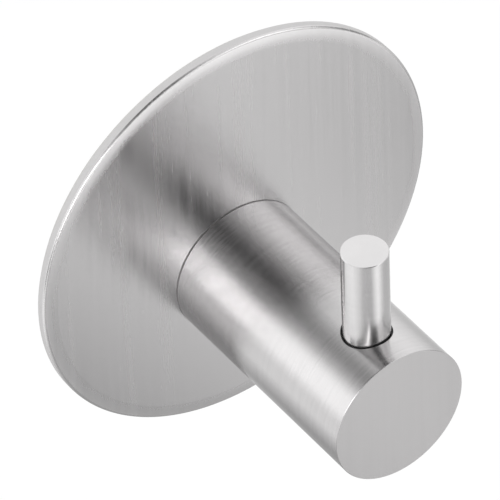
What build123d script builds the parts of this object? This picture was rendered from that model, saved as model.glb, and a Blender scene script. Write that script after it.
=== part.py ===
"""Self-adhesive wall hook in brushed stainless steel.

A round plate sticks to the wall by a foam pad. A round post stands out of the plate, below its
centre, so that most of the pad lies above the load. An upright peg near the post's free end keeps a
loop from slipping off. A countersunk screw, hidden under the pad, pulls the post against the plate.

Frame: the wall is the plane Y = 0, +Z runs up the wall, and the hook stands out of the wall along -Y.
The origin is the centre of the adhesive face. All sizes are millimetres.
"""

import math
import os

from build123d import *

# Plate: a blanked disc, its front face drawn down towards the rim by the punch, its rear burr broken
PLATE_DIAMETER = 58.0
PLATE_THICKNESS = 1.5
PLATE_ROLL_WIDTH = 2.0
PLATE_ROLL_DEPTH = 0.25
PLATE_CORNER_RADIUS = 0.45
PLATE_REAR_BREAK = 0.1

# Pad: die-cut foam tape on the plate's rear face
PAD_THICKNESS = 0.5
PAD_MARGIN = 0.5

# Post: a faced bar that stands below the plate's centre
POST_DIAMETER = 19.0
POST_LENGTH = 34.0
POST_DROP = 6.5
POST_FOOT_BREAK = 0.15
POST_END_BREAK = 0.05

# Peg: a turned rod whose foot sits in a counterbore and whose spigot is pressed into the post
PEG_DIAMETER = 6.0
PEG_RISE = 13.0
PEG_FROM_END = 6.5
PEG_TOP_BREAK = 0.06
PEG_FOOT_GAP = 0.2
PEG_FOOT_COVER = 0.6
SPIGOT_DIAMETER = 4.0
SPIGOT_LENGTH = 6.0
SPIGOT_BREAK = 0.3

# Screw: countersunk, cross recessed, drawn at its thread's outer diameter
SCREW_DIAMETER = 4.0
SCREW_LENGTH = 10.0
SCREW_HEAD_DIAMETER = 7.5
SCREW_HEAD_LAND = 0.15
SCREW_HEAD_SINK = 0.1
SCREW_TIP_BREAK = 0.5
SCREW_HEAD_GAP = 0.1
RECESS_SPAN = 4.2
RECESS_WIDTH = 1.1
RECESS_DEPTH = 1.6
RECESS_TAPER = 8.0

# Fits and drilling
PRESS_GAP = 0.01
CLEARANCE_HOLE_GAP = 0.25
HOLE_SPARE = 1.0
DRILL_POINT_ANGLE = 118.0

# Places worked out from the sizes above: depths are measured out of the wall, heights up it
plate_radius = PLATE_DIAMETER / 2
post_radius = POST_DIAMETER / 2
peg_radius = PEG_DIAMETER / 2
plate_rear = PAD_THICKNESS
plate_front = plate_rear + PLATE_THICKNESS
post_end = plate_front + POST_LENGTH
post_height = -POST_DROP
peg_depth = post_end - PEG_FROM_END
peg_top_height = post_height + post_radius + PEG_RISE
counterbore_radius = peg_radius + PEG_FOOT_GAP
saddle_height = post_height + math.sqrt(post_radius**2 - counterbore_radius**2)
peg_foot_height = saddle_height - PEG_FOOT_COVER
screw_head_depth = plate_rear + SCREW_HEAD_SINK

# The wall's own plane: its x is the frame's X, its y is up the wall and its z is out of the wall
WALL = Plane(origin=(0, 0, 0), x_dir=(1, 0, 0), z_dir=(0, -1, 0))


def outward(depth, height=0.0):
    """Plane that faces out of the wall at a depth, centred at a height."""
    return Plane(origin=(0, height, depth), x_dir=(1, 0, 0), z_dir=(0, 0, 1))


def upward(height, depth):
    """Plane that faces up the wall at a height, centred at a depth."""
    return Plane(origin=(0, height, depth), x_dir=(1, 0, 0), z_dir=(0, 1, 0))


def bar(radius, length):
    """Round bar that stands on its plane."""
    return extrude(Circle(radius), length)


def drilled_hole(radius, depth):
    """Blind hole to be cut downwards from its plane, with the cone that a drill leaves at its end."""
    point_length = radius / math.tan(math.radians(DRILL_POINT_ANGLE / 2))
    profile = Polyline((0, 0), (radius, 0), (radius, -depth), (0, -depth - point_length), close=True)
    return revolve(Plane.XZ * make_face(profile), Axis.Z)


def screw_form(head_gap, shank_gap, shank_end):
    """Countersunk screw's round form grown by two gaps, its head's outer face on its plane."""
    head_radius = SCREW_HEAD_DIAMETER / 2 + head_gap
    shank_radius = SCREW_DIAMETER / 2 + shank_gap
    cone_start = SCREW_HEAD_LAND + head_gap
    cone_end = cone_start + head_radius - shank_radius
    profile = Polyline(
        (0, 0), (head_radius, 0), (head_radius, cone_start), (shank_radius, cone_end),
        (shank_radius, shank_end), (0, shank_end), close=True,
    )
    return revolve(Plane.XZ * make_face(profile), Axis.Z)


def adhesive_pad():
    """Foam tape disc between the wall and the plate."""
    return outward(0) * bar(plate_radius - PAD_MARGIN, PAD_THICKNESS)


def blanked_disc():
    """Disc on its plane whose front face curves down to the rim, where a small radius meets the wall."""
    roll_start = (plate_radius - PLATE_ROLL_WIDTH, PLATE_THICKNESS)
    corner = (plate_radius, PLATE_THICKNESS - PLATE_ROLL_DEPTH)
    roll = TangentArc(roll_start, corner, tangent=(1, 0))
    rest = Polyline(
        corner, (plate_radius, PLATE_REAR_BREAK), (plate_radius - PLATE_REAR_BREAK, 0),
        (0, 0), (0, PLATE_THICKNESS), roll_start,
    )
    disc = revolve(Plane.XZ * make_face(roll + rest), Axis.Z)
    rim_edges = disc.edges().sort_by(SortBy.LENGTH)[-2:]
    return fillet(rim_edges.sort_by(Axis.Z)[-1], PLATE_CORNER_RADIUS)


def back_plate():
    """Blanked disc with a countersunk hole for the screw."""
    disc = outward(plate_rear) * blanked_disc()
    hole = screw_form(0, CLEARANCE_HOLE_GAP, SCREW_LENGTH)
    mouth = bar(SCREW_HEAD_DIAMETER / 2, SCREW_HEAD_SINK)
    disc -= outward(screw_head_depth, post_height) * hole
    return disc - outward(plate_rear, post_height) * mouth


def post():
    """Faced bar with a tapped hole in its foot and a stepped hole for the peg on top."""
    body = bar(post_radius, POST_LENGTH)
    body = chamfer(body.edges().sort_by(Axis.Z)[0], POST_FOOT_BREAK)
    body = chamfer(body.edges().sort_by(Axis.Z)[-1], POST_END_BREAK)
    body = outward(plate_front, post_height) * body

    head_room = outward(screw_head_depth, post_height) * screw_form(SCREW_HEAD_GAP, PRESS_GAP, SCREW_LENGTH)
    tap_drill = drilled_hole(SCREW_DIAMETER / 2 + PRESS_GAP, SCREW_LENGTH + HOLE_SPARE)
    inward = Plane(origin=(0, post_height, screw_head_depth), x_dir=(1, 0, 0), z_dir=(0, 0, -1))
    body = body - head_room - inward * tap_drill

    counterbore = bar(counterbore_radius, post_radius)
    spigot_hole = drilled_hole(SPIGOT_DIAMETER / 2 + PRESS_GAP, SPIGOT_LENGTH + HOLE_SPARE)
    seat = upward(peg_foot_height, peg_depth)
    return body - seat * counterbore - seat * spigot_hole


def peg():
    """Upright rod with a flat foot and a thinner spigot under it."""
    rod = bar(peg_radius, peg_top_height - peg_foot_height)
    rod = chamfer(rod.edges().sort_by(Axis.Z)[-1], PEG_TOP_BREAK)
    spigot = Pos(0, 0, -SPIGOT_LENGTH) * bar(SPIGOT_DIAMETER / 2, SPIGOT_LENGTH)
    spigot = chamfer(spigot.edges().sort_by(Axis.Z)[0], SPIGOT_BREAK)
    return upward(peg_foot_height, peg_depth) * (rod + spigot)


def fixing_screw():
    """Countersunk screw with a tapered cross recess."""
    form = screw_form(0, 0, SCREW_LENGTH)
    form = chamfer(form.edges().sort_by(Axis.Z)[-1], SCREW_TIP_BREAK)
    cross = Rectangle(RECESS_SPAN, RECESS_WIDTH) + Rectangle(RECESS_WIDTH, RECESS_SPAN)
    form -= extrude(cross, RECESS_DEPTH, taper=RECESS_TAPER)
    return outward(screw_head_depth, post_height) * form


os.makedirs("parts", exist_ok=True)
for build_piece in (adhesive_pad, back_plate, post, peg, fixing_screw):
    export_step(WALL * build_piece(), f"parts/{build_piece.__name__}.step")
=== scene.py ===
"""Brushed stainless steel wall hook: its finishes, its foam pad, a soft studio and the camera."""

import logging
import math
from dataclasses import dataclass
from enum import Enum
from typing import Any, Mapping, Optional, Sequence

import bpy
import numpy as np
from mathutils import Matrix, Vector


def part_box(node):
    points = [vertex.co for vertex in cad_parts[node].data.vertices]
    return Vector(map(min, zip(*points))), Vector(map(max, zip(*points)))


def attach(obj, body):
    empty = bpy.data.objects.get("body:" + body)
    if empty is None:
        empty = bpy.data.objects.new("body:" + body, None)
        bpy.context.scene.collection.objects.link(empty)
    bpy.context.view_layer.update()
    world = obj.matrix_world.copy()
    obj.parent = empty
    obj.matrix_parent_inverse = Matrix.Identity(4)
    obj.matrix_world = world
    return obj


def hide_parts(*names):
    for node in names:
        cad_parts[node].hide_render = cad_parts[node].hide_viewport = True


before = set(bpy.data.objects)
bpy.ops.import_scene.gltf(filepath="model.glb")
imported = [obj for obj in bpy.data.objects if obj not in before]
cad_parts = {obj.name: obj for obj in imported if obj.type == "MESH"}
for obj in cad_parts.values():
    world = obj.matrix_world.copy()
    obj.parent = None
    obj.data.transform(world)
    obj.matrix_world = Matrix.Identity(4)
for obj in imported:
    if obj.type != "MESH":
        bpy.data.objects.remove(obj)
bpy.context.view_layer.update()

log = logging.getLogger("wall_hook")

MM = 0.001
BODY = "root"
Colour = tuple[float, float, float]
Triple = tuple[float, float, float]

# Places that the finishes start from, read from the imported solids: depths go out of the wall
PLATE_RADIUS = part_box("back_plate")[1][0]
PLATE_FRONT_DEPTH = -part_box("back_plate")[0][1]
PAD_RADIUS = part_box("adhesive_pad")[1][0]
POST_END_DEPTH = -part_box("post")[0][1]
POST_CREST_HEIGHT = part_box("post")[1][2]
PEG_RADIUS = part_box("peg")[1][0]
PEG_AXIS_DEPTH = -(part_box("peg")[0][1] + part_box("peg")[1][1]) / 2

# Noise of the brushing: octaves and the share that each keeps, and how many times longer broad lines are
FINE_NOISE = (3.0, 0.65)
BROAD_NOISE = (1.0, 0.5)
BROAD_LINE_TIMES = 7.0


def rgba(colour: Colour) -> tuple[float, float, float, float]:
    """An opaque colour for a shader socket."""
    return (*colour, 1.0)


WHITE = rgba((1.0, 1.0, 1.0))

# Signs of a flat sheet's corners along its width and length, in order round it
SHEET_CORNERS = ((-1, -1), (1, -1), (1, 1), (-1, 1))


class Value:
    """A shader socket that takes part in arithmetic: each operation adds a Math node."""

    def __init__(self, graph: "Graph", socket: Optional[bpy.types.NodeSocket]) -> None:
        """Wrap a node's output.

        Args:
            graph: The graph that the node belongs to.
            socket: The output to wrap, or None where the node has none.
        """
        self.graph = graph
        self.socket = socket

    def math(self, operation: str, *operands: Any) -> "Value":
        """One Math node.

        Args:
            operation: The Math node's operation.
            *operands: Its inputs, values or numbers.

        Returns:
            The node's result.
        """
        return self.graph.node("ShaderNodeMath", {"operation": operation}, dict(enumerate(operands)))

    def __add__(self, other: Any) -> "Value":
        """Sum."""
        return self.math("ADD", self, other)

    def __radd__(self, other: Any) -> "Value":
        """Sum with a number on the left."""
        return self.math("ADD", other, self)

    def __sub__(self, other: Any) -> "Value":
        """Difference."""
        return self.math("SUBTRACT", self, other)

    def __rsub__(self, other: Any) -> "Value":
        """Difference from a number on the left."""
        return self.math("SUBTRACT", other, self)

    def __mul__(self, other: Any) -> "Value":
        """Product."""
        return self.math("MULTIPLY", self, other)

    def __rmul__(self, other: Any) -> "Value":
        """Product with a number on the left."""
        return self.math("MULTIPLY", other, self)

    def __gt__(self, other: Any) -> "Value":
        """One where this is larger, else zero."""
        return self.math("GREATER_THAN", self, other)

    def __lt__(self, other: Any) -> "Value":
        """One where this is smaller, else zero."""
        return self.math("LESS_THAN", self, other)

    def either(self, other: Any) -> "Value":
        """The larger of the two."""
        return self.math("MAXIMUM", self, other)


class Graph:
    """A node tree and the one method that adds nodes to it."""

    def __init__(self, tree: bpy.types.NodeTree) -> None:
        """Start from an empty tree.

        Args:
            tree: The material's or world's node tree.
        """
        self.tree = tree
        tree.nodes.clear()

    def node(
        self,
        kind: str,
        settings: Optional[Mapping[str, Any]] = None,
        sockets: Optional[Mapping[Any, Any]] = None,
        output: Any = 0,
    ) -> Value:
        """Add a node.

        Args:
            kind: The node's type.
            settings: Its properties, and "stops" for a ramp, as (place, grey) pairs.
            sockets: Values or links of its inputs, by name or number.
            output: The output to return, by name or number.

        Returns:
            The chosen output.
        """
        made = self.tree.nodes.new(kind)
        for name, value in (settings or {}).items():
            if name == "stops":
                self._set_stops(made.color_ramp, value)
            else:
                setattr(made, name, value)
        for key, value in (sockets or {}).items():
            if isinstance(value, Value):
                self.tree.links.new(value.socket, made.inputs[key])
            else:
                made.inputs[key].default_value = value
        return Value(self, made.outputs[output] if made.outputs else None)

    @staticmethod
    def _set_stops(ramp: bpy.types.ColorRamp, stops: Sequence[tuple[float, float]]) -> None:
        """Give a ramp its grey stops.

        Args:
            ramp: The ramp.
            stops: Pairs of place and grey.
        """
        while len(ramp.elements) < len(stops):
            ramp.elements.new(1.0)
        for element, (place, grey) in zip(ramp.elements, stops):
            element.position = place
            element.color = rgba((grey,) * 3)

    def noise(self, place: Value, cells: Sequence[float], detail: float, roughness: float) -> Value:
        """Noise about zero.

        Args:
            place: Coordinates in metres.
            cells: Noise cells to a metre along each axis.
            detail: Octaves.
            roughness: Share that each octave keeps.

        Returns:
            The noise's value, from -0.5 to 0.5.
        """
        scaled = self.node("ShaderNodeVectorMath", {"operation": "MULTIPLY"}, {0: place, 1: cells})
        sockets = {"Vector": scaled, "Scale": 1.0, "Detail": detail, "Roughness": roughness}
        return self.node("ShaderNodeTexNoise", None, sockets, "Fac") - 0.5

    def shaded(self, colour: Colour, level: Value) -> Value:
        """A colour made lighter or darker by a value."""
        return self.node("ShaderNodeVectorMath", {"operation": "SCALE"}, {0: colour, "Scale": level})


def new_material(name: str) -> tuple[bpy.types.Material, Graph]:
    """Make a material without nodes.

    Args:
        name: The material's name.

    Returns:
        The material and its graph.
    """
    made = bpy.data.materials.new(name)
    made.use_nodes = True
    return made, Graph(made.node_tree)


class Grain(Enum):
    """Which way the brushing lines run, as the length of a noise cell along X, Y and Z in millimetres."""

    UPRIGHT = (0.14, 0.5, 9.0)
    ROUND_THE_POST = (0.8, 0.03, 0.8)
    ROUND_THE_PEG = (5.0, 5.0, 0.10)
    PLAIN = (0.22, 0.22, 0.22)

    def cells(self, longer: float = 1.0) -> Triple:
        """Noise cells to a metre along each axis.

        Args:
            longer: How many times longer the cells are.

        Returns:
            The three counts.
        """
        return tuple(1.0 / (size * MM * longer) for size in self.value)


class Reach(Enum):
    """How much each axis counts in a patch's distance from its centre."""

    ROUND_Y = (1.0, 0.0, 1.0)
    ALONG_Y = (0.0, 1.0, 0.0)
    ALONG_Z = (0.0, 0.0, 1.0)
    TALL_BALL = (1.0, 1.0, 0.3)


@dataclass(frozen=True)
class Patch:
    """A part of a piece with another finish, painted shade or painted sheen: points whose weighed distance
    from a centre is in a span.
    """

    reach: Reach
    span: tuple[float, float]
    grain: Grain
    tone: float
    roughness: float
    line_share: float = 1.0
    metal: float = 1.0
    centre: Triple = (0.0, 0.0, 0.0)
    fade: float = 0.0

    def mask(self, graph: Graph, place: Value) -> Value:
        """One on the patch, else zero; with a fade, it grows over that length from the span's start.

        Args:
            graph: The material's graph.
            place: Object coordinates.

        Returns:
            The mask.
        """
        weights = self.reach.value
        start = tuple(-w * c for w, c in zip(weights, self.centre))
        weigh = {"operation": "MULTIPLY_ADD"}
        weighed = graph.node("ShaderNodeVectorMath", weigh, {0: place, 1: weights, 2: start})
        distance = graph.node("ShaderNodeVectorMath", {"operation": "LENGTH"}, {0: weighed}, "Value")
        first, last = self.span
        inside = distance < last
        if not self.fade:
            return inside * (distance > first)
        ends = {"Value": distance, "From Min": first, "From Max": first + self.fade}
        return inside * graph.node("ShaderNodeMapRange", None, ends, "Result")


@dataclass(frozen=True)
class Brushing:
    """How strong brushing lines are, fine ones and broad ones: in tone, in gloss, and in relief in mm."""

    line_tone: float = 0.10
    line_depth: float = 0.0006
    line_gloss: float = 0.10
    wave_tone: float = 0.05
    wave_depth: float = 0.0
    wave_gloss: float = 0.0


@dataclass(frozen=True)
class Steel:
    """A stainless steel finish with its brushing, whose stretched highlights turn by a share of a circle."""

    name: str
    grain: Grain
    colour: Colour
    roughness: float
    anisotropy: float = 0.0
    turn: float = 0.0
    brushing: Brushing = Brushing()
    patches: tuple[Patch, ...] = ()

    @staticmethod
    def lines(graph: Graph, place: Value, grain: Grain) -> tuple[Value, Value]:
        """Brushing lines about zero.

        Args:
            graph: The material's graph.
            place: Object coordinates.
            grain: Which way they run.

        Returns:
            The height of the fine lines and of the broad ones.
        """
        fine = graph.noise(place, grain.cells(), *FINE_NOISE)
        broad = graph.noise(place, grain.cells(BROAD_LINE_TIMES), *BROAD_NOISE)
        return fine, broad

    def material(self) -> bpy.types.Material:
        """Make the finish.

        Returns:
            The material, with brushing lines in its tone, gloss and relief.
        """
        made, graph = new_material(self.name)
        place = graph.node("ShaderNodeTexCoord", output="Object")
        fine, broad = self.lines(graph, place, self.grain)
        gloss: Any = self.roughness
        light: Any = 1.0
        metal: Any = 1.0
        for patch in self.patches:
            mask = patch.mask(graph, place)
            patch_fine, patch_broad = self.lines(graph, place, patch.grain)
            fine = fine + mask * (patch_fine * patch.line_share - fine)
            broad = broad + mask * (patch_broad * patch.line_share - broad)
            gloss = mask * (patch.roughness - self.roughness) + gloss
            # A patch's tone: a finish's own, or painted shade or painted sheen
            light = mask * (patch.tone - 1.0) + light
            if patch.metal < 1.0:
                metal = mask * (patch.metal - 1.0) + metal
        brushing = self.brushing
        level = fine * (2 * brushing.line_tone) + broad * (2 * brushing.wave_tone) + light
        height = fine * brushing.line_depth + broad * brushing.wave_depth
        relief = {"Strength": 1.0, "Distance": MM, "Height": height}
        shader = graph.node(
            "ShaderNodeBsdfPrincipled", None,
            {
                "Base Color": graph.shaded(self.colour, level),
                "Metallic": metal,
                "Roughness": fine * brushing.line_gloss + broad * brushing.wave_gloss + gloss,
                "Anisotropic": self.anisotropy,
                "Anisotropic Rotation": self.turn,
                "Normal": graph.node("ShaderNodeBump", None, relief, "Normal"),
            },
            "BSDF",
        )
        graph.node("ShaderNodeOutputMaterial", None, {"Surface": shader})
        return made


# A distance past every piece, for patches that have no outer limit
BEYOND = 1.0

# Patches: the plate's drawn rim, lighter as a painted sheen, and its cut edge; the post's end; painted shade
# round the post's foot and peg seat, and on the peg's foot
# The drawn rim's roll: rougher, and lighter in tone as a painted sheen where the roll catches light
ROLLED_RIM_PAINTED_SHEEN = Patch(
    Reach.ROUND_Y, (PLATE_RADIUS - 2.1 * MM, PLATE_RADIUS - 0.34 * MM), Grain.UPRIGHT,
    tone=1.13, roughness=0.38, fade=1.6 * MM,
)
CUT_RIM = Patch(
    Reach.ROUND_Y, (PLATE_RADIUS - 0.022 * MM, BEYOND), Grain.PLAIN, tone=0.81, roughness=0.7, metal=0.0
)
FACED_END = Patch(
    Reach.ALONG_Y, (POST_END_DEPTH - 0.03 * MM, BEYOND), Grain.UPRIGHT,
    tone=0.90, roughness=0.30, line_share=0.22,
)
# Painted shade: the post's foot made darker where it meets the plate, for the joint's shadow gap
FOOT_PAINTED_SHADE = Patch(
    Reach.ALONG_Y, (0.0, PLATE_FRONT_DEPTH + 0.15 * MM), Grain.PLAIN, tone=0.85, roughness=0.5
)
# Painted shade: the post's top made dark round the peg, in the seat's gap
PEG_SEAT_PAINTED_SHADE = Patch(
    Reach.TALL_BALL, (0.0, PEG_RADIUS + 0.25 * MM), Grain.PLAIN, tone=0.30, roughness=0.5,
    centre=(0.0, -PEG_AXIS_DEPTH, POST_CREST_HEIGHT - 0.6 * MM),
)
# Painted shade: the peg made dark below the post's top, down in its seat
PEG_FOOT_PAINTED_SHADE = Patch(
    Reach.ALONG_Z, (0.0, POST_CREST_HEIGHT - 0.55 * MM), Grain.PLAIN, tone=0.35, roughness=0.5
)

PLATE_STEEL = Steel(
    "upright_brushed_steel", Grain.UPRIGHT, (0.660, 0.650, 0.652), roughness=0.24, anisotropy=0.75,
    brushing=Brushing(
        line_tone=0.035, line_depth=0.0003, line_gloss=0.11,
        wave_tone=0.025, wave_depth=0.008, wave_gloss=0.15,
    ),
    patches=(ROLLED_RIM_PAINTED_SHEEN, CUT_RIM),
)
POST_STEEL = Steel(
    "round_brushed_steel", Grain.ROUND_THE_POST, (0.586, 0.576, 0.578), roughness=0.15,
    brushing=Brushing(
        line_tone=0.10, line_depth=0.0045, line_gloss=0.16,
        wave_tone=0.08, wave_depth=0.004, wave_gloss=0.16,
    ),
    patches=(FACED_END, FOOT_PAINTED_SHADE, PEG_SEAT_PAINTED_SHADE),
)
PEG_STEEL = Steel(
    "turned_steel", Grain.ROUND_THE_PEG, (0.735, 0.725, 0.727), roughness=0.18, anisotropy=0.85, turn=0.25,
    brushing=Brushing(line_tone=0.06), patches=(PEG_FOOT_PAINTED_SHADE,),
)
SCREW_STEEL = Steel("plain_steel", Grain.PLAIN, (0.55, 0.55, 0.54), roughness=0.35)


@dataclass(frozen=True)
class FoamTape:
    """The pad's finish: pale foam with a tacky film on its faces."""

    name: str = "foam_tape"
    colour: Colour = (0.72, 0.72, 0.70)
    roughness: float = 0.42
    cells: Triple = (6000.0,) * 3
    cell_tone: float = 0.10
    cell_relief: float = 0.6
    cell_depth: float = 0.02 * MM
    clouds: Triple = (160.0,) * 3
    cloud_tone: float = 0.08
    cloud_gloss: float = 0.2
    edge: Patch = Patch(
        Reach.ROUND_Y, (PAD_RADIUS - 0.2 * MM, BEYOND), Grain.PLAIN, tone=0.93, roughness=0.9
    )

    def material(self) -> bpy.types.Material:
        """Make the finish.

        Returns:
            The material, with fine cells, broad unevenness and a matt cut edge.
        """
        made, graph = new_material(self.name)
        place = graph.node("ShaderNodeTexCoord", output="Object")
        cell = graph.noise(place, self.cells, detail=2.0, roughness=0.6)
        cloud = graph.noise(place, self.clouds, detail=3.0, roughness=0.5)
        mask = self.edge.mask(graph, place)
        level = cloud * self.cloud_tone + cell * self.cell_tone + 1.0 + mask * (self.edge.tone - 1.0)
        gloss = self.roughness + cloud * self.cloud_gloss + mask * (self.edge.roughness - self.roughness)
        relief = {"Strength": self.cell_relief, "Distance": self.cell_depth, "Height": cell}
        shader = graph.node(
            "ShaderNodeBsdfPrincipled", None,
            {
                "Base Color": graph.shaded(self.colour, level),
                "Roughness": gloss,
                "Normal": graph.node("ShaderNodeBump", None, relief, "Normal"),
            },
            "BSDF",
        )
        graph.node("ShaderNodeOutputMaterial", None, {"Surface": shader})
        return made


@dataclass(frozen=True)
class CadPiece:
    """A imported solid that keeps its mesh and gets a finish."""

    node: str
    finish: Steel

    def build(self) -> bpy.types.Object:
        """Give the node's object its finish.

        Returns:
            The node's object.
        """
        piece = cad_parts[self.node]
        piece.data.materials.clear()
        piece.data.materials.append(self.finish.material())
        return piece


@dataclass(frozen=True)
class FoamPad:
    """The die-cut tape between plate and wall: a foam core between two thin adhesive films.

    The edge's depths count in film thicknesses and its insets in core insets. Waves round the edge are
    pairs of count and phase, and waves in the wall face are in radians to a metre.
    """

    node: str = "adhesive_pad"
    slot: str = "pad_foam"
    finish: FoamTape = FoamTape()
    film: float = 0.05 * MM
    core_inset: float = 0.07 * MM
    edge_depths: tuple[float, ...] = (0.0, 1.0, 1.5, 2.5)
    edge_insets: tuple[float, ...] = (0.0, 0.1, 0.8, 1.0)
    edge_waves: tuple[tuple[int, float], ...] = ((5, 0.6), (11, 2.1), (23, 4.0))
    edge_wobble: float = 0.0004
    dimple: float = 0.02 * MM
    dimple_waves: tuple[float, float] = (310.0, 270.0)
    dimple_phase: float = 1.0
    slant_waves: tuple[float, float] = (140.0, 190.0)
    dimpled_share: float = 0.985
    face_rings: int = 12
    turns: int = 288
    sharp_angle: float = 50.0

    def section(self, radius: float, thickness: float) -> np.ndarray:
        """The tape's section, from the wall face's centre round the edge to the plate face's centre.

        Rings on the faces enclose equal areas, and the core's edge draws in between the films.

        Args:
            radius: The tape's radius.
            thickness: The tape's thickness.

        Returns:
            Pairs of distance from the axis and depth out of the wall.
        """
        face = radius * np.sqrt(np.linspace(0.0, 1.0, self.face_rings + 2))[1:-1]
        depth = np.array(self.edge_depths) * self.film
        inset = np.array(self.edge_insets) * self.core_inset
        edge = np.column_stack((radius - inset, depth))
        wall_side = np.column_stack((face, np.zeros(len(face))))
        half = np.vstack((wall_side, edge))
        return np.vstack((half, half[::-1] * (1, -1) + (0, thickness)))

    def wobble(self, turn: np.ndarray) -> np.ndarray:
        """Share of the radius that the die left: a sum of sines round the edge, at most one.

        Args:
            turn: Angles round the axis.

        Returns:
            The share at each angle.
        """
        waves = sum(np.sin(turn * count + phase) for count, phase in self.edge_waves)
        highest = len(self.edge_waves)
        return 1.0 - self.edge_wobble * (highest - waves) / highest

    def dimples(self, x: np.ndarray, z: np.ndarray) -> np.ndarray:
        """Shallow dimples in the wall face: crossing waves and slanting ones, from zero to the full depth.

        Args:
            x: Places across the wall.
            z: Places up the wall.

        Returns:
            The depth at each place.
        """
        across, upward = self.dimple_waves
        slant_x, slant_z = self.slant_waves
        crossing = np.sin(x * across + self.dimple_phase) * np.sin(z * upward)
        slanting = np.sin(x * slant_x - z * slant_z)
        return self.dimple * (2.0 - (crossing + slanting)) / 4.0

    def build(self) -> bpy.types.Object:
        """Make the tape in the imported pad's place: its section carried round the axis.

        Returns:
            The tape's object.
        """
        low, high = (np.array(corner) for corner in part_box(self.node))
        radius, thickness = (high[0] - low[0]) / 2, high[1] - low[1]
        section = self.section(radius, thickness)
        turn = np.arange(self.turns) * 2 * math.pi / self.turns
        out, depth = (np.repeat(c[:, None], self.turns, 1) for c in section.T)
        out = out * self.wobble(turn)
        x, z = out * np.cos(turn), out * np.sin(turn)
        free = (depth < self.film) & (out < self.dimpled_share * radius)
        depth = np.where(free, self.dimples(x, z), depth)
        verts = np.stack((x, high[1] - depth, z), -1).reshape(-1, 3)
        poles = np.array(((0.0, high[1], 0.0), (0.0, low[1], 0.0)))
        piece = self.mesh_object(np.vstack((verts, poles)), len(section))
        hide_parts(self.node)
        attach(piece, BODY)
        return piece

    def mesh_object(self, verts: np.ndarray, rows: int) -> bpy.types.Object:
        """Join the rings of points into a closed mesh.

        Args:
            verts: The rings' points in order, then the two poles.
            rows: How many rings there are.

        Returns:
            The new object, in the scene.
        """
        index = np.arange(rows * self.turns).reshape(rows, self.turns)
        ahead = np.roll(index, -1, 1)
        quads = np.stack((index[:-1], index[1:], ahead[1:], ahead[:-1]), -1).reshape(-1, 4)
        poles = np.repeat(rows * self.turns + np.arange(2)[:, None], self.turns, 1)
        wall_fan = np.column_stack((poles[0], index[0], ahead[0]))
        plate_fan = np.column_stack((poles[1], ahead[-1], index[-1]))
        mesh = bpy.data.meshes.new("foam_tape")
        mesh.from_pydata(verts.tolist(), [], quads.tolist() + wall_fan.tolist() + plate_fan.tolist())
        mesh.validate()
        mesh.shade_smooth()
        mesh.set_sharp_from_angle(angle=math.radians(self.sharp_angle))
        mesh.materials.append(self.finish.material())
        piece = bpy.data.objects.new("foam_tape", mesh)
        bpy.context.scene.collection.objects.link(piece)
        return piece


@dataclass(frozen=True)
class Camera:
    """The camera at the photograph's viewing angle: angles in degrees, distances in metres."""

    azimuth: float = -33.434
    elevation: float = 42.549
    roll: float = -2.548
    distance: float = 0.84738
    clip: tuple[float, float] = (0.01, 20.0)
    focal_pixels: float = 6800.0
    image_pixels: float = 500.0
    target_pixel: tuple[float, float] = (237.10, 225.30)

    def axes(self) -> tuple[Vector, Vector, Vector]:
        """The camera's directions.

        Returns:
            Right, up and backward.
        """
        turn, lift, lean = (math.radians(a) for a in (self.azimuth, self.elevation, self.roll))
        back = Vector((math.sin(turn) * math.cos(lift), -math.cos(turn) * math.cos(lift), math.sin(lift)))
        right = Vector((math.cos(turn), math.sin(turn), 0.0))
        up = back.cross(right)
        return (
            math.cos(lean) * right + math.sin(lean) * up,
            -math.sin(lean) * right + math.cos(lean) * up,
            back,
        )

    def build(self, target: Vector) -> bpy.types.Object:
        """Make the camera and set it as the scene's.

        Args:
            target: The point that the photograph shows at target_pixel.

        Returns:
            The camera's object.
        """
        data = bpy.data.cameras.new("photo_camera")
        data.lens = self.focal_pixels * data.sensor_width / self.image_pixels
        middle = (self.image_pixels - 1) / 2
        data.shift_x = (middle - self.target_pixel[0]) / self.image_pixels
        data.shift_y = (self.target_pixel[1] - middle) / self.image_pixels
        data.clip_start, data.clip_end = self.clip
        camera = bpy.data.objects.new("photo_camera", data)
        right, up, back = self.axes()
        turn = Matrix((right, up, back)).transposed().to_4x4()
        camera.matrix_world = Matrix.Translation(target + back * self.distance) @ turn
        bpy.context.scene.collection.objects.link(camera)
        bpy.context.scene.camera = camera
        return camera


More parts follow.
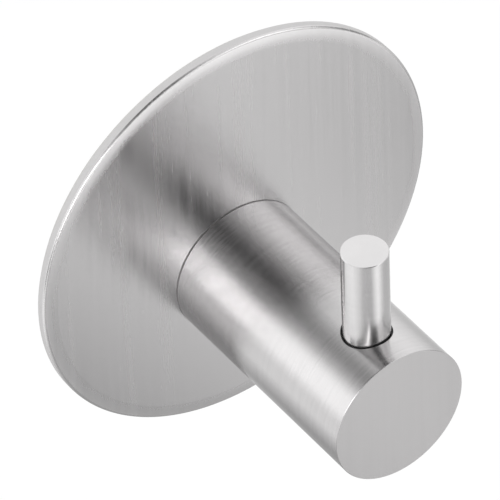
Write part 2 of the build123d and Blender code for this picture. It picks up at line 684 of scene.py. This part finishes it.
@dataclass(frozen=True)
class Card:
    """A soft-edged studio card along the post, bright or dark, that only reflections show.

    Its angle goes round the post's direction, from the right towards the top, and its skew turns the
    card in its own plane, so that its front end lies at a smaller angle than its rear end. Its core is
    the share of its width and length that has its full cover. Angles are in degrees, lengths in metres.
    """

    name: str
    angle: float
    distance: float
    forward: float
    half_width: float
    half_length: float
    level: float
    cover: float
    core: tuple[float, float] = (0.2, 0.3)
    skew: float = 0.0

    def build(self) -> bpy.types.Object:
        """Make the card, facing the hook: its middle plus or minus its half width and half length.

        Returns:
            The card's object.
        """
        turn, lean = math.radians(self.angle), math.radians(self.skew)
        out = np.array((math.cos(turn), 0.0, math.sin(turn)))
        side = np.array((-math.sin(turn), 0.0, math.cos(turn)))
        along = np.array((0.0, 1.0, 0.0))
        width = math.cos(lean) * side - math.sin(lean) * along
        length = math.cos(lean) * along + math.sin(lean) * side
        middle = out * self.distance - along * self.forward
        corners = [
            middle + width * self.half_width * a + length * self.half_length * b
            for a, b in SHEET_CORNERS
        ]
        mesh = bpy.data.meshes.new(self.name)
        mesh.from_pydata([tuple(c) for c in corners], [], [(0, 1, 2, 3)])
        uv = mesh.uv_layers.new(name="across")
        uv.data.foreach_set("uv", np.array((0, 0, 1, 0, 1, 1, 0, 1), dtype=np.float32))
        mesh.materials.append(self.cloth())
        card = bpy.data.objects.new(self.name, mesh)
        card.visible_camera = card.visible_shadow = card.visible_diffuse = False
        bpy.context.scene.collection.objects.link(card)
        return card

    def cloth(self) -> bpy.types.Material:
        """Make the card's material, clear at its rim and full at its core.

        Returns:
            The material.
        """
        made, graph = new_material(f"{self.name}_cloth")
        place = graph.node("ShaderNodeTexCoord", output="UV")
        shade: Any = self.cover
        for axis, core in zip("XY", self.core):
            inner = (1.0 - core) / 2
            stops = {"stops": ((0.0, 0.0), (inner, 1.0), (1.0 - inner, 1.0), (1.0, 0.0))}
            along = graph.node("ShaderNodeSeparateXYZ", None, {0: place}, axis)
            shade = graph.node("ShaderNodeValToRGB", stops, {0: along}, "Color") * shade
        glow = {"Color": WHITE, "Strength": self.level}
        face = graph.node("ShaderNodeEmission", None, glow, "Emission")
        clear = graph.node("ShaderNodeBsdfTransparent", None, None, "BSDF")
        both = graph.node("ShaderNodeMixShader", None, {0: shade, 1: clear, 2: face}, "Shader")
        graph.node("ShaderNodeOutputMaterial", None, {"Surface": both})
        return made


# Each card's name, angle, distance, forward, half width, half length, level, cover, core and skew
CARDS = (
    Card("left_card", 168.0, 0.6, 0.30, 0.35, 2.0, 1.5, 1.0, (0.35, 0.6)),
    Card("left_front_card", 168.0, 0.55, 0.75, 0.31, 0.6, 3.9, 1.0, (0.4, 0.55)),
    Card("left_near_flag", 172.0, 0.0455, 0.055, 0.025, 0.0245, 0.0, 0.85, (0.5, 0.75)),
    Card("left_rim_flag", 168.0, 0.06, 0.0185, 0.040, 0.0145, 0.0, 0.65, (0.6, 0.55)),
    Card("right_card", 32.0, 0.6, 0.30, 0.38, 2.0, 1.2, 1.0, (0.2, 0.6)),
    Card("right_front_card", 32.0, 0.55, 0.88, 0.35, 0.6, 1.95, 1.0, (0.2, 0.7)),
    Card("right_flag", 2.0, 0.5, 0.15, 0.12, 0.35, 0.0, 0.6, (0.3, 0.3)),
    Card("right_near_flag", 38.0, 0.0466, 0.060, 0.030, 0.028, 0.0, 0.4, (0.4, 0.35)),
    Card("right_rim_flag", 27.0, 0.0675, 0.017, 0.028, 0.020, 0.0, 0.5, (0.5, 0.4)),
    Card("low_left_card", 215.0, 0.15, 0.10, 0.10, 0.20, 1.25, 1.0),
    Card("floor_card", 270.0, 0.19, 0.85, 0.8, 0.65, 1.6, 1.0, (0.5, 0.45)),
    Card("overhead_flag", 106.0, 0.58, 0.23, 0.37, 1.2, 0.0, 0.905, (0.15, 0.3), 10.0),
    Card("front_flag", 105.0, 0.57, 0.80, 0.55, 0.45, 0.0, 0.9, (0.4, 0.3)),
    Card("low_left_flag", 255.0, 0.075, 0.055, 0.080, 0.15, 0.0, 0.55, (0.35, 0.5), 20.0),
    Card("low_right_flag", 328.0, 0.12, 0.03, 0.065, 0.14, 0.0, 0.44, (0.3, 0.4), 12.0),
)


@dataclass(frozen=True)
class Studio:
    """White surroundings, a pale floor, a soft lamp and the cards that draw bands on the metal."""

    ambient: float = 1.0
    floor_height: float = -0.20
    floor_half: float = 4.0
    floor_colour: Colour = (0.95, 0.95, 0.95)
    floor_glow: float = 0.75
    lamp_place: Triple = (-0.5, -0.8, 1.2)
    lamp_size: float = 1.0
    lamp_power: float = 4.0
    cards: tuple[Card, ...] = CARDS

    def world(self) -> None:
        """White surroundings."""
        world = bpy.data.worlds.new("studio")
        bpy.context.scene.world = world
        world.use_nodes = True
        graph = Graph(world.node_tree)
        light = graph.node("ShaderNodeBackground", None, {"Color": WHITE, "Strength": self.ambient})
        graph.node("ShaderNodeOutputWorld", None, {"Surface": light})

    @staticmethod
    def seen(graph: Graph) -> Value:
        """One on camera, glossy and transmission rays, else zero.

        Args:
            graph: The graph to add to.

        Returns:
            The ray's mask.
        """
        mask = graph.node("ShaderNodeLightPath", output="Is Camera Ray")
        for kind in ("Glossy", "Transmission"):
            mask = mask.either(graph.node("ShaderNodeLightPath", output=f"Is {kind} Ray"))
        return mask

    def paper(self) -> bpy.types.Material:
        """Make the floor's material, which glows a little where it is seen and keeps soft shadows.

        Returns:
            The material.
        """
        made, graph = new_material("white_paper")
        lit = graph.node("ShaderNodeBsdfDiffuse", None, {"Color": rgba(self.floor_colour)}, "BSDF")
        glow = graph.node("ShaderNodeEmission", None, {"Color": WHITE, "Strength": 1.0}, "Emission")
        share = self.seen(graph) * self.floor_glow
        both = graph.node("ShaderNodeMixShader", None, {0: share, 1: lit, 2: glow}, "Shader")
        graph.node("ShaderNodeOutputMaterial", None, {"Surface": both})
        return made

    def floor(self) -> bpy.types.Object:
        """A large white floor.

        Returns:
            The floor's object.
        """
        half, height = self.floor_half, self.floor_height
        corners = [(x * half, y * half, height) for x, y in SHEET_CORNERS]
        mesh = bpy.data.meshes.new("floor")
        mesh.from_pydata(corners, [], [(0, 1, 2, 3)])
        mesh.materials.append(self.paper())
        floor = bpy.data.objects.new("floor", mesh)
        bpy.context.scene.collection.objects.link(floor)
        return floor

    def lamp(self) -> bpy.types.Object:
        """A large soft lamp in front and above, which draws no highlight of its own.

        Returns:
            The lamp's object.
        """
        data = bpy.data.lights.new("soft_lamp", "AREA")
        data.size, data.energy = self.lamp_size, self.lamp_power
        lamp = bpy.data.objects.new("soft_lamp", data)
        lamp.location = self.lamp_place
        lamp.rotation_mode = "QUATERNION"
        lamp.rotation_quaternion = (-Vector(self.lamp_place)).to_track_quat("-Z", "Y")
        lamp.visible_glossy = lamp.visible_camera = False
        bpy.context.scene.collection.objects.link(lamp)
        return lamp

    def build(self) -> None:
        """Make the whole studio."""
        self.world()
        self.floor()
        self.lamp()
        for card in self.cards:
            log.info("placed %s", card.build().name)


def main() -> None:
    """Dress the hook, build the studio and set the camera."""
    logging.basicConfig(level=logging.INFO)
    bpy.context.scene.view_settings.view_transform = "Standard"
    pieces = (
        FoamPad(),
        CadPiece("back_plate", PLATE_STEEL),
        CadPiece("post", POST_STEEL),
        CadPiece("peg", PEG_STEEL),
        CadPiece("fixing_screw", SCREW_STEEL),
    )
    for piece in pieces:
        log.info("built %s", piece.build().name)
    Studio().build()
    Camera().build(Vector((0.0, -PLATE_FRONT_DEPTH, 0.0)))


if __name__ == "__main__":
    main()
